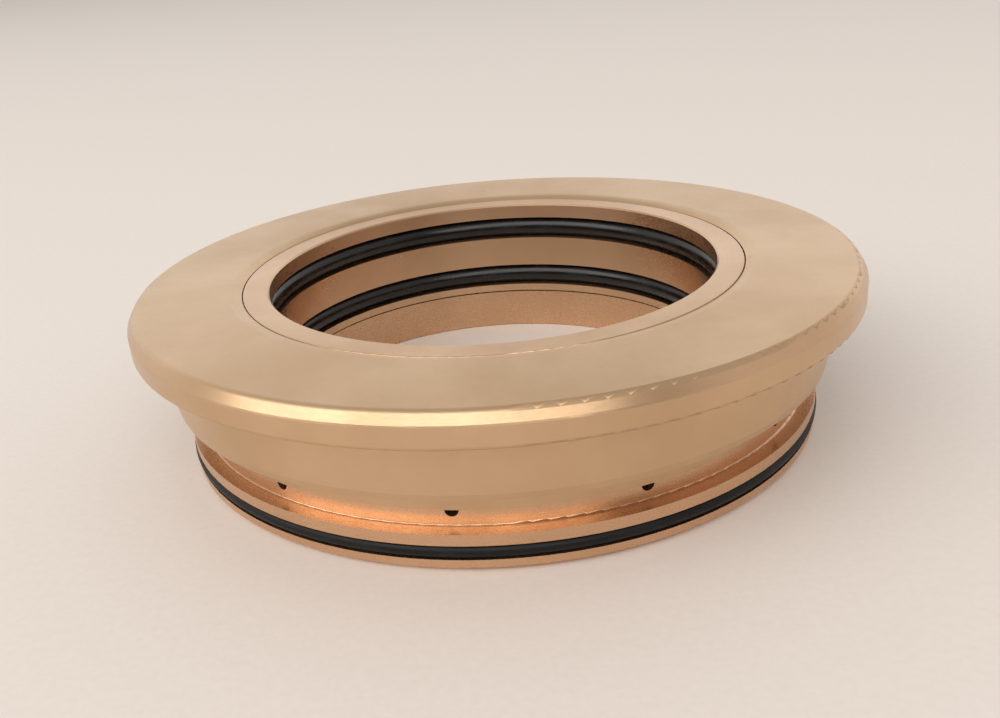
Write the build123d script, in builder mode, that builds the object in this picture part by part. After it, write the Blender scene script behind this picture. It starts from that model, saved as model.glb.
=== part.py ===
"""Bearing isolator cartridge: a bronze rotor that turns inside a two-piece bronze stator.

The shaft axis is +Z. The inboard face stands on z = 0 and the broad outboard flange is on top.
The rotor grips a shaft with two O-rings in its bore. The stator seats in a housing bore with one
O-ring on its land. Lengths are in millimetres.
"""
import os

from build123d import *

os.makedirs("parts", exist_ok=True)

# ---- What the seal fits ----
shaft_r = 35.0              # shaft the rotor grips
seal_section = 15.0         # from the shaft to the housing bore, radial
shaft_gap = 0.1             # rotor bore to shaft, radial
lip_gap = 0.35              # stator lip to shaft, radial
housing_gap = 0.05          # stator land to housing bore, radial
height = 25.0               # inboard face to outboard face

# ---- Clearances inside the cartridge ----
run_gap = 0.3               # rotor to stator, along the axis and at the labyrinth teeth
face_gap = 0.15             # rotor face ring to the flange around it, radial
press_gap = 0.02            # spigot to the flange piece that is pressed over it, radial

# ---- Stator, outside ----
flange_t = 4.75             # thickness of the broad flange at its rim
flange_reach = 4.75         # flange beyond the skirt
rim_bevel_w = 1.0           # bevel round the outboard edge of the flange
rim_bevel_h = 1.6
rim_round = 1.0             # rounding where the bevel meets the outboard face
rim_soften = 0.5            # rounding where the bevel meets the rim
rim_under_round = 0.6       # rounding of the flange's inboard edge
eye_bevel_w = 1.0           # bevel that leads down to the rotor's face
eye_bevel_h = 0.55
eye_round = 3.5             # rounding where the bevel meets the outboard face
skirt_step = 1.55           # skirt beyond the land
skirt_taper_w = 0.2         # slight taper at the skirt's free end
skirt_taper_h = 0.9
land_h = 5.55               # height of the land that seats in the housing
land_chamfer = 0.9
neck_recess = 2.15          # neck below the land, which leaves the drain channel
neck_open = 5.55            # height of the channel between land and skirt
neck_fillet = 0.25
part_rise = 2.2             # land to the plane where the two halves of the stator part
edge_break = 0.2

# ---- Stator, inside ----
neck_wall = 2.3
spigot_wall = 1.2           # spigot of the base inside the flange piece
spigot_h = 7.75
floor_t = 5.0               # wall under the rotor chamber
lip_h = 7.03                # inboard lip, which the rotor faces
lip_wall = 5.7
wall_t = 1.5                # outboard wall over the chamber
tooth_w = 1.6               # annular tooth that hangs from the outboard wall
tooth_h = 2.6

# ---- Rotor ----
face_sink = 0.5             # rotor face below the outboard face
bore_chamfer = 0.25
face_ring_w = 4.0           # rotor seen in the outboard face
face_ring_break = 0.15
collar_w = 1.5              # between the face ring and the groove for the tooth
disc_t = 3.5
apron_wall = 1.1            # apron that hangs outside the inboard lip
fin_t = 1.5
fin_pitch = 4.1             # slinger fins below the disc
fin_count = 2

# ---- O-rings and their grooves ----
drive_cord_d = 3.53
drive_reach = 0.2           # how far a drive O-ring stands into the bore
drive_groove_w = 3.95
drive_land_top = 2.55       # rotor face to the upper groove
drive_land_end = 1.29       # rotor end to the lower groove
house_cord_d = 1.78
house_reach = 0.2           # how far the housing O-ring stands out of the land
house_groove_w = 2.0
house_groove_z = 1.92       # lower wall of the groove

# ---- Half-round drains through the neck, roofed by the flange piece ----
drain_count = 12
drain_d = 1.8
drain_start = -100.4        # direction of the first drain, degrees from +X

# ---- Worked out from the sizes above ----
land_r = shaft_r + seal_section - housing_gap
skirt_r = land_r + skirt_step
flange_r = skirt_r + flange_reach
neck_r = land_r - neck_recess
cavity_r = neck_r - neck_wall
spigot_r = cavity_r + spigot_wall
lip_r = shaft_r + lip_gap
lip_outer_r = lip_r + lip_wall
bore_r = shaft_r + shaft_gap
face_ring_r = bore_r + face_ring_w
eye_r = face_ring_r + face_gap
tooth_in_r = face_ring_r + collar_w + run_gap
tooth_out_r = tooth_in_r + tooth_w
apron_r = lip_outer_r + run_gap
sleeve_r = apron_r + apron_wall
fin_r = cavity_r - run_gap
drive_ring_r = bore_r - drive_reach + drive_cord_d / 2
drive_floor_r = drive_ring_r + drive_cord_d / 2
house_ring_r = land_r + house_reach - house_cord_d / 2
house_floor_r = house_ring_r - house_cord_d / 2

flange_z = height - flange_t
skirt_z = land_h + neck_open
part_z = land_h + part_rise
spigot_z = part_z + spigot_h
wall_z = height - wall_t
tooth_z = wall_z - tooth_h
face_z = height - face_sink
rotor_z = lip_h + run_gap
disc_top_z = wall_z - run_gap
disc_z = disc_top_z - disc_t
apron_z = floor_t + run_gap
house_z = house_groove_z + house_groove_w / 2
upper_z = face_z - drive_land_top - drive_groove_w / 2
lower_z = rotor_z + drive_land_end + drive_groove_w / 2

# Outboard half of the stator: flange, skirt, upper neck, outboard wall and its hanging tooth
with BuildPart() as stator_flange:
    with BuildSketch(Plane.XZ):
        with BuildLine():
            Polyline(
                (eye_r, height - eye_bevel_h),
                (eye_r + eye_bevel_w, height),
                (flange_r - rim_bevel_w, height),
                (flange_r, height - rim_bevel_h),
                (flange_r, flange_z),
                (skirt_r, flange_z),
                (skirt_r, skirt_z + skirt_taper_h),
                (skirt_r - skirt_taper_w, skirt_z),
                (neck_r, skirt_z),
                (neck_r, part_z),
                (spigot_r + press_gap, part_z),
                (spigot_r + press_gap, spigot_z),
                (cavity_r, spigot_z),
                (cavity_r, wall_z),
                (tooth_out_r, wall_z),
                (tooth_out_r, tooth_z),
                (tooth_in_r, tooth_z),
                (tooth_in_r, wall_z),
                (eye_r, wall_z),
                close=True,
            )
        make_face()
    revolve(axis=Axis.Z)
    circles = stator_flange.edges().filter_by(GeomType.CIRCLE)
    top_circles = circles.group_by(Axis.Z)[-1].sort_by(SortBy.RADIUS)
    rim_circles = circles.group_by(SortBy.RADIUS)[-1].sort_by(Axis.Z)
    fillet(top_circles[0], eye_round)
    fillet(top_circles[-1], rim_round)
    fillet(rim_circles[-1], rim_soften)
    fillet(rim_circles[0], rim_under_round)
stator_flange.part.label = "stator_flange"
export_step(stator_flange.part, "parts/stator_flange.step")

# Inboard half of the stator: land with its O-ring groove, drained neck with its spigot, floor and lip
with BuildPart() as stator_base:
    with BuildSketch(Plane.XZ):
        with BuildLine():
            Polyline(
                (lip_r, 0),
                (land_r, 0),
                (land_r, land_h),
                (neck_r, land_h),
                (neck_r, part_z),
                (spigot_r, part_z),
                (spigot_r, spigot_z),
                (cavity_r, spigot_z),
                (cavity_r, floor_t),
                (lip_outer_r, floor_t),
                (lip_outer_r, lip_h),
                (lip_r, lip_h),
                close=True,
            )
        make_face()
    revolve(axis=Axis.Z)
    circles = stator_base.edges().filter_by(GeomType.CIRCLE)
    bottom_circles = circles.group_by(Axis.Z)[0].sort_by(SortBy.RADIUS)
    neck_circles = circles.filter_by(lambda e: abs(e.radius - neck_r) < edge_break / 2).sort_by(Axis.Z)
    chamfer(bottom_circles[-1], land_chamfer)
    chamfer(bottom_circles[0], edge_break)
    fillet(neck_circles[0], neck_fillet)
    with BuildSketch(Plane.XZ):
        with Locations((house_floor_r, house_groove_z)):
            Rectangle(2 * (land_r - house_floor_r), house_groove_w, align=Align.MIN)
    revolve(axis=Axis.Z, mode=Mode.SUBTRACT)
    with PolarLocations(0, drain_count, start_angle=drain_start):
        with Locations(Location((neck_r, 0, part_z), (0, 90, 0))):
            Cylinder(drain_d / 2, 3 * neck_wall, mode=Mode.SUBTRACT)
stator_base.part.label = "stator_base"
export_step(stator_base.part, "parts/stator_base.step")

# Rotor: sleeve with a grooved disc, slinger fins, an apron outside the lip and two bore grooves
with BuildPart() as rotor:
    with BuildSketch(Plane.XZ):
        with BuildLine():
            Polyline(
                (bore_r, rotor_z),
                (bore_r, face_z),
                (face_ring_r, face_z),
                (face_ring_r, disc_top_z),
                (tooth_in_r - run_gap, disc_top_z),
                (tooth_in_r - run_gap, tooth_z - run_gap),
                (tooth_out_r + run_gap, tooth_z - run_gap),
                (tooth_out_r + run_gap, disc_top_z),
                (fin_r, disc_top_z),
                (fin_r, disc_z),
                (sleeve_r, disc_z),
                (sleeve_r, apron_z),
                (apron_r, apron_z),
                (apron_r, rotor_z),
                close=True,
            )
        make_face()
    revolve(axis=Axis.Z)
    with BuildSketch(Plane.XZ):
        for fin in range(1, fin_count + 1):
            with Locations((apron_r, disc_z - fin * fin_pitch)):
                Rectangle(fin_r - apron_r, fin_t, align=Align.MIN)
    revolve(axis=Axis.Z)
    circles = rotor.edges().filter_by(GeomType.CIRCLE)
    top_circles = circles.group_by(Axis.Z)[-1].sort_by(SortBy.RADIUS)
    chamfer(top_circles[0], bore_chamfer)
    fillet(top_circles[-1], face_ring_break)
    with BuildSketch(Plane.XZ):
        for z in (upper_z, lower_z):
            with Locations((bore_r, z)):
                Rectangle(2 * (drive_floor_r - bore_r), drive_groove_w)
    revolve(axis=Axis.Z, mode=Mode.SUBTRACT)
rotor.part.label = "rotor"
export_step(rotor.part, "parts/rotor.step")

# Upper drive O-ring, nearly at the size it has on the shaft
with BuildPart() as drive_o_ring_upper:
    with BuildSketch(Plane.XZ):
        with Locations((drive_ring_r, upper_z)):
            Circle(drive_cord_d / 2)
    revolve(axis=Axis.Z)
drive_o_ring_upper.part.label = "drive_o_ring_upper"
export_step(drive_o_ring_upper.part, "parts/drive_o_ring_upper.step")

# Lower drive O-ring, the same size as the upper one
with BuildPart() as drive_o_ring_lower:
    with BuildSketch(Plane.XZ):
        with Locations((drive_ring_r, lower_z)):
            Circle(drive_cord_d / 2)
    revolve(axis=Axis.Z)
drive_o_ring_lower.part.label = "drive_o_ring_lower"
export_step(drive_o_ring_lower.part, "parts/drive_o_ring_lower.step")

# Housing O-ring on the stator's land
with BuildPart() as housing_o_ring:
    with BuildSketch(Plane.XZ):
        with Locations((house_ring_r, house_z)):
            Circle(house_cord_d / 2)
    revolve(axis=Axis.Z)
housing_o_ring.part.label = "housing_o_ring"
export_step(housing_o_ring.part, "parts/housing_o_ring.step")
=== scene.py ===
"""Dressed scene of the bearing isolator cartridge: bronze, rubber, floor, light and camera."""
import math

import bpy
from mathutils import Matrix, Vector


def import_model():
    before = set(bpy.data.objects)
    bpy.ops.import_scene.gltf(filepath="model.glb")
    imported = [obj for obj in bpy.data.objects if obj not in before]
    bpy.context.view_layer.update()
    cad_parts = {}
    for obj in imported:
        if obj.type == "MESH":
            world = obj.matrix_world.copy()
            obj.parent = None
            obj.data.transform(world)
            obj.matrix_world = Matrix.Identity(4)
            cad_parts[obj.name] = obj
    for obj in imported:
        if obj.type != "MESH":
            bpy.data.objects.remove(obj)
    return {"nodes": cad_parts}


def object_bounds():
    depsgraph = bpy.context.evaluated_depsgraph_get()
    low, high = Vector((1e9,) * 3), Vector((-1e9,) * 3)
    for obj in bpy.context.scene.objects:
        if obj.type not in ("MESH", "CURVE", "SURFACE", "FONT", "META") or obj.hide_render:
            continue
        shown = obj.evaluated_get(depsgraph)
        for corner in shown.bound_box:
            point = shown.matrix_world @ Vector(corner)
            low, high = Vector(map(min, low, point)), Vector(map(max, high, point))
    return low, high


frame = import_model()
cad_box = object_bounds()

MM = 0.001

# ---- Where things are on the part, from the frame ----
LOW, HIGH = (Vector(corner) for corner in cad_box)
TOP = HIGH.z
FLANGE_R = HIGH.x


def link(obj):
    bpy.context.scene.collection.objects.link(obj)
    return obj


# ---- Node helpers ----
class Graph:
    """A node tree, with short calls for the nodes used here."""

    def __init__(self, name):
        self.material = bpy.data.materials.new(name)
        self.material.use_nodes = True
        self.take(self.material.node_tree)
        self.shader = self.nodes["Principled BSDF"]
        self.place = self.nodes.new("ShaderNodeNewGeometry").outputs["Position"]

    def take(self, tree):
        self.nodes = tree.nodes
        self.links = tree.links

    @classmethod
    def over(cls, tree):
        """The same short calls over another node tree, such as the world's."""
        graph = cls.__new__(cls)
        graph.take(tree)
        return graph

    def put(self, socket, value):
        if isinstance(value, bpy.types.NodeSocket):
            self.links.new(value, socket)
        elif value is not None:
            socket.default_value = value

    def math(self, operation, a, b=None):
        node = self.nodes.new("ShaderNodeMath")
        node.operation = operation
        self.put(node.inputs[0], a)
        self.put(node.inputs[1], b)
        return node.outputs[0]

    def noise(self, vector, scale, detail=3.0, roughness=0.55):
        node = self.nodes.new("ShaderNodeTexNoise")
        self.put(node.inputs["Vector"], vector)
        node.inputs["Scale"].default_value = scale
        node.inputs["Detail"].default_value = detail
        node.inputs["Roughness"].default_value = roughness
        return node.outputs["Fac"]

    def ramp(self, value, low, high, to_low=0.0, to_high=1.0):
        node = self.nodes.new("ShaderNodeMapRange")
        node.interpolation_type = "SMOOTHSTEP"
        self.put(node.inputs["Value"], value)
        node.inputs["From Min"].default_value = low
        node.inputs["From Max"].default_value = high
        node.inputs["To Min"].default_value = to_low
        node.inputs["To Max"].default_value = to_high
        return node.outputs["Result"]

    def blend(self, factor, a, b):
        node = self.nodes.new("ShaderNodeMix")
        node.data_type = "RGBA"
        self.put(node.inputs[0], factor)
        self.put(node.inputs[6], a)
        self.put(node.inputs[7], b)
        return node.outputs[2]

    def turned(self):
        """Radius, height and angle of the shaded point about the shaft axis."""
        split = self.nodes.new("ShaderNodeSeparateXYZ")
        self.links.new(self.place, split.inputs[0])
        x, y, z = split.outputs
        squares = self.math("ADD", self.math("MULTIPLY", x, x), self.math("MULTIPLY", y, y))
        radius = self.math("SQRT", squares)
        angle = self.math("ARCTAN2", y, x)
        return radius, z, angle

    def vector(self, x, y, z):
        node = self.nodes.new("ShaderNodeCombineXYZ")
        for socket, value in zip(node.inputs, (x, y, z)):
            self.put(socket, value)
        return node.outputs[0]

    def bump(self, height, distance, base=None):
        node = self.nodes.new("ShaderNodeBump")
        node.inputs["Strength"].default_value = 1.0
        node.inputs["Distance"].default_value = distance
        self.put(node.inputs["Height"], height)
        if base is not None:
            self.links.new(base, node.inputs["Normal"])
        return node.outputs[0]


def colour(r, g, b):
    return (r, g, b, 1.0)


# ---- Materials ----
PIT_TONE = colour(0.16, 0.09, 0.05)
GROOVE_STRETCH = 0.7        # how far the turned grooves stretch a reflection
ACROSS_GROOVES = 0.25       # a quarter turn from the direction round the axis
FINE_DEPTH = 0.0025 * MM
COARSE_DEPTH = 0.003 * MM
RUBBER_DEPTH = 0.02 * MM


def bronze(name, light, dark, roughness):
    """Turned bearing bronze: fine tool rings about the shaft axis, a cloudy tone and faint dirt."""
    g = Graph(name)
    radius, z, angle = g.turned()
    along = g.math("MULTIPLY", angle, 0.010)
    ring_place = g.vector(radius, z, along)
    fine = g.noise(ring_place, 5200.0, 2.0, 0.6)
    coarse = g.noise(g.vector(radius, z, g.math("MULTIPLY", angle, 0.003)), 1100.0, 3.0, 0.55)
    cloud = g.noise(g.place, 45.0, 4.0, 0.6)
    blotch = g.noise(g.place, 240.0, 3.0, 0.55)
    pits = g.noise(g.place, 1500.0, 1.0, 0.5)
    tone = g.blend(g.ramp(cloud, 0.32, 0.68), light, dark)
    tone = g.blend(g.ramp(fine, 0.45, 0.8, 0.0, 0.16), tone, dark)
    tone = g.blend(g.ramp(blotch, 0.55, 0.75, 0.0, 0.15), tone, dark)
    tone = g.blend(g.ramp(pits, 0.82, 0.88, 0.0, 0.5), tone, PIT_TONE)
    g.put(g.shader.inputs["Base Color"], tone)
    g.shader.inputs["Metallic"].default_value = 1.0
    g.shader.inputs["Anisotropic"].default_value = GROOVE_STRETCH
    g.shader.inputs["Anisotropic Rotation"].default_value = ACROSS_GROOVES
    tangent = g.nodes.new("ShaderNodeTangent")
    tangent.direction_type = "RADIAL"
    tangent.axis = "Z"
    g.links.new(tangent.outputs[0], g.shader.inputs["Tangent"])
    rough_cloud = g.ramp(cloud, 0.3, 0.7, -0.03, 0.03)
    rough_rings = g.ramp(fine, 0.3, 0.7, roughness - 0.03, roughness + 0.03)
    rough = g.math("ADD", rough_cloud, rough_rings)
    g.put(g.shader.inputs["Roughness"], rough)
    normal = g.bump(fine, FINE_DEPTH)
    normal = g.bump(coarse, COARSE_DEPTH, base=normal)
    g.links.new(normal, g.shader.inputs["Normal"])
    return g.material


def rubber(name, tint, roughness, mark, shine):
    """Black rubber: a faint grain and smears along the ring."""
    g = Graph(name)
    radius, z, angle = g.turned()
    smear = g.noise(g.vector(g.math("MULTIPLY", angle, 0.02), radius, z), 420.0, 3.0, 0.6)
    grain = g.noise(g.place, 2600.0, 2.0, 0.6)
    g.put(g.shader.inputs["Base Color"], g.blend(g.ramp(smear, 0.45, 0.7), tint, mark))
    g.put(g.shader.inputs["Roughness"], g.ramp(smear, 0.35, 0.7, roughness, roughness + 0.16))
    g.shader.inputs["Specular IOR Level"].default_value = shine
    g.links.new(g.bump(grain, RUBBER_DEPTH), g.shader.inputs["Normal"])
    return g.material


FLANGE_BRONZE = bronze("bronze_flange", colour(0.66, 0.455, 0.28), colour(0.60, 0.405, 0.24), 0.33)
BASE_BRONZE = bronze("bronze_base", colour(0.71, 0.455, 0.285), colour(0.63, 0.395, 0.24), 0.28)
ROTOR_BRONZE = bronze("bronze_rotor", colour(0.68, 0.46, 0.29), colour(0.61, 0.40, 0.245), 0.30)
BLACK = colour(0.004, 0.004, 0.004)
SMEARED_BLACK = colour(0.009, 0.009, 0.009)
GREASED_RUBBER = rubber("rubber_greased", BLACK, 0.14, SMEARED_BLACK, 0.45)
DRY_RUBBER = rubber("rubber_dry", BLACK, 0.40, SMEARED_BLACK, 0.25)

MATERIALS = {
    "stator_flange": FLANGE_BRONZE,
    "stator_base": BASE_BRONZE,
    "rotor": ROTOR_BRONZE,
    "drive_o_ring_upper": GREASED_RUBBER,
    "drive_o_ring_lower": GREASED_RUBBER,
    "housing_o_ring": DRY_RUBBER,
}

for node, obj in frame["nodes"].items():
    for slot in obj.material_slots:
        slot.material = MATERIALS[node]

# ---- Floor ----
FLOOR_SIZE = 24.0
FLOOR_COLOUR = colour(0.80, 0.745, 0.70)
FLOOR_SHADE = colour(0.77, 0.71, 0.66)


def floor():
    half = FLOOR_SIZE / 2
    mesh = bpy.data.meshes.new("floor")
    corners = [(-half, -half, 0), (half, -half, 0), (half, half, 0), (-half, half, 0)]
    mesh.from_pydata(corners, [], [(0, 1, 2, 3)])
    obj = link(bpy.data.objects.new("floor", mesh))
    obj.location.z = LOW.z
    g = Graph("paper")
    grain = g.noise(g.place, 900.0, 4.0, 0.6)
    g.put(g.shader.inputs["Base Color"], g.blend(g.ramp(grain, 0.2, 0.8), FLOOR_COLOUR, FLOOR_SHADE))
    g.shader.inputs["Roughness"].default_value = 0.7
    g.links.new(g.bump(grain, 0.02 * MM), g.shader.inputs["Normal"])
    mesh.materials.append(g.material)


floor()


# ---- Light ----
def lamp(name, place, aim, size, radiance, tint=(1.0, 1.0, 1.0)):
    """An area lamp of a given brightness, so its power follows from its size."""
    data = bpy.data.lights.new(name, "AREA")
    data.shape = "RECTANGLE"
    data.size, data.size_y = size
    data.energy = radiance * math.pi * size[0] * size[1]
    data.color = tint
    obj = link(bpy.data.objects.new(name, data))
    obj.location = place
    obj.rotation_euler = (Vector(aim) - Vector(place)).to_track_quat("-Z", "Y").to_euler()


# The room by direction: a pale wall behind the part, duller sides, a dark side behind the camera
BACK = colour(1.0, 0.99, 0.97)
LEFT = colour(0.82, 0.77, 0.75)
RIGHT = colour(0.77, 0.68, 0.66)
FRONT = colour(0.27, 0.25, 0.24)
OVERHEAD = colour(0.56, 0.54, 0.51)
FAR_PAPER = colour(0.80, 0.716, 0.645)      # what the camera sees past the end of the floor


def world():
    room = bpy.data.worlds.new("room")
    bpy.context.scene.world = room
    room.use_nodes = True
    g = Graph.over(room.node_tree)
    split = g.nodes.new("ShaderNodeSeparateXYZ")
    g.links.new(g.nodes.new("ShaderNodeTexCoord").outputs["Generated"], split.inputs[0])
    x, y, z = split.outputs
    walls = g.blend(g.ramp(x, -0.8, 0.8), LEFT, RIGHT)
    walls = g.blend(g.ramp(y, 0.1, 0.85), walls, BACK)
    walls = g.blend(g.ramp(y, -0.85, -0.35, 1.0, 0.0), walls, FRONT)
    light = g.blend(g.ramp(z, 0.45, 0.85), walls, OVERHEAD)
    seen = g.nodes.new("ShaderNodeLightPath").outputs["Is Camera Ray"]
    g.put(g.nodes["Background"].inputs["Color"], g.blend(seen, light, FAR_PAPER))


WINDOW_PLACE = (-0.76, -1.32, 1.30)         # metres, above the camera and to its left
WINDOW_SIZE = (4.9, 1.4)
WINDOW_RADIANCE = 2.2
WINDOW_TINT = (1.0, 0.97, 0.93)

world()
lamp("window", WINDOW_PLACE, (0, 0, 0), WINDOW_SIZE, WINDOW_RADIANCE, WINDOW_TINT)

# ---- Camera ----
LENS = 36.28                    # mm on a 36 mm wide sensor
PITCH = math.radians(22.82)     # looking down
ROLL = math.radians(-5.13)
FACE_R = FLANGE_R - 1.5 * MM    # about the radius of the flat outboard face
AXIS_TO_VIEW = Vector((0.0588, -0.3033, 2.9287))     # flange centre in camera axes, in face radii
SHIFT = (0.0297, 0.0033)


def camera():
    forward = Vector((0, math.cos(PITCH), -math.sin(PITCH)))
    right = Vector((1, 0, 0))
    down = forward.cross(right)
    c, s = math.cos(ROLL), math.sin(ROLL)
    view_right = c * right - s * down
    view_down = s * right + c * down
    offset = AXIS_TO_VIEW * FACE_R
    place = Vector((0, 0, TOP)) - (offset.x * view_right + offset.y * view_down + offset.z * forward)
    data = bpy.data.cameras.new("camera")
    data.sensor_width = 36.0
    data.lens = LENS
    data.shift_x, data.shift_y = SHIFT
    data.clip_start = 0.005
    obj = link(bpy.data.objects.new("camera", data))
    turn = Matrix((view_right, -view_down, -forward)).transposed()
    obj.matrix_world = Matrix.Translation(place) @ turn.to_4x4()
    bpy.context.scene.camera = obj


camera()
bpy.context.scene.view_settings.view_transform = "Standard"
